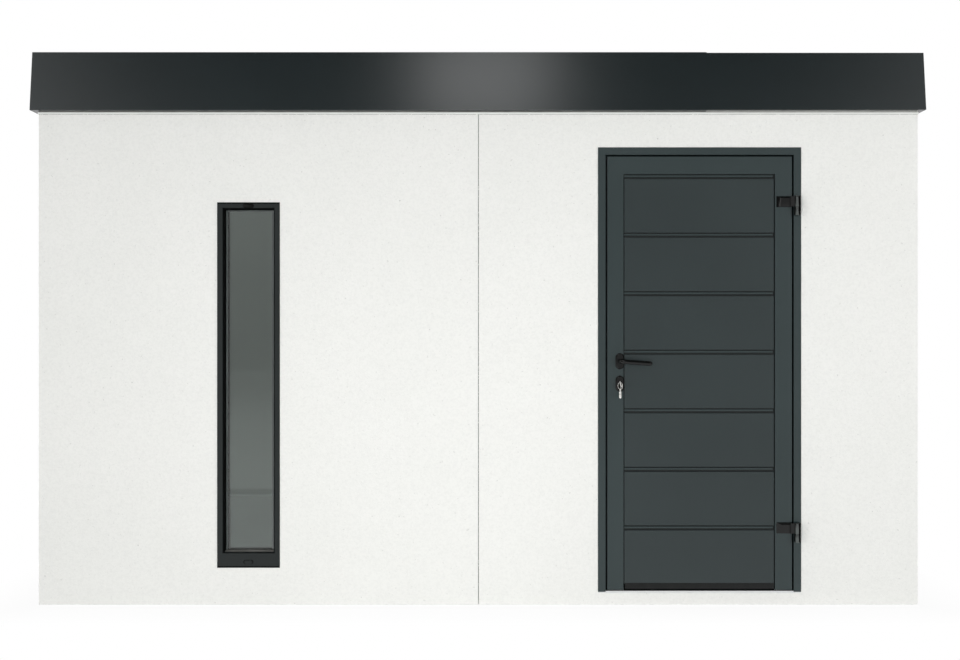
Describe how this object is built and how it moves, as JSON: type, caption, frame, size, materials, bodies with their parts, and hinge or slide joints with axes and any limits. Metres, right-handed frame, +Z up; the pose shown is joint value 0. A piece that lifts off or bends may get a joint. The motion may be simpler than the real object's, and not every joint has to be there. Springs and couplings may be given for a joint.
{
  "type": "garden cabin",
  "caption": "Flat-roofed garden cabin with rendered panel walls, a dark folded fascia, a narrow fixed window and an outward opening plank door.",
  "frame": {"origin": "on the ground at the middle of the walls' footprint", "axes": "+X to the right along the front wall, +Y from the front to the back, +Z up; the front with the door and the window faces -Y"},
  "size_m": [4.0583, 3.0943, 2.5093],
  "materials": {
    "wall_render": "fine mineral render in white",
    "floor": "smooth screed",
    "deck": "coated sandwich panel",
    "kerb": "sawn softwood",
    "membrane": "matt sheet",
    "joint_seal": "matt",
    "fascia_sheet": "satin coil coating in anthracite",
    "window_frame": "fine grained foil in anthracite",
    "glass": "clear",
    "black_seal": "matt",
    "black_cap": "gloss",
    "door_metal": "satin powder coating in anthracite",
    "threshold": "mill finish",
    "black_metal": "gloss black coating",
    "nickel": "nickel plating"
  },
  "bodies": {
    "cabin": {"floor_slab": "floor", "front_window_panel": "wall_render", "front_panel_left_of_door": "wall_render", "front_panel_right_of_door": "wall_render", "door_lintel": "wall_render", "door_sill": "wall_render", "left_wall_front_panel": "wall_render", "left_wall_rear_panel": "wall_render", "right_wall_front_panel": "wall_render", "right_wall_rear_panel": "wall_render", "back_wall_left_panel": "wall_render", "back_wall_right_panel": "wall_render", "panel_joint_seals": "joint_seal", "roof_deck": "deck", "roof_kerbs": "kerb", "roof_membrane": "membrane", "fascia_front_long": "fascia_sheet", "fascia_front_short": "fascia_sheet", "fascia_left": "fascia_sheet", "fascia_right": "fascia_sheet", "fascia_back_long": "fascia_sheet", "fascia_back_short": "fascia_sheet", "window_frame_sides": "window_frame", "window_frame_head": "window_frame", "window_frame_sill": "window_frame", "window_glazing": "glass", "window_beads": "black_seal", "window_caps": "black_cap", "door_frame_lock_jamb": "door_metal", "door_frame_hinge_jamb": "door_metal", "door_frame_head": "door_metal", "door_threshold": "threshold", "hinge_frame_knuckles": "black_metal"},
    "leaf": {"leaf_lock_stile": "door_metal", "leaf_hinge_stile": "door_metal", "leaf_top_rail": "door_metal", "leaf_core": "door_metal", "leaf_planks": "door_metal", "leaf_bottom_seal": "black_seal", "hinge_leaf_wings": "black_metal", "handle_roses": "black_metal", "lock_cylinder": "black_metal", "keys": "nickel"},
    "lever": {"lever_outside": "black_metal", "lever_inside": "black_metal"}
  },
  "joints": [
    {"name": "door_swing", "type": "hinge", "parent": "cabin", "child": "leaf", "pos_m": [1.445, -1.522, 1], "axis": [0, 0, 1], "range_deg": [0, 120]},
    {"name": "lever_turn", "type": "hinge", "parent": "leaf", "child": "lever", "pos_m": [0.644, -1.48, 1.108], "axis": [0, 1, 0], "range_deg": [0, 45], "stiffness_Nm_per_rad": 1.2, "springref_deg": -34.38}
  ]
}
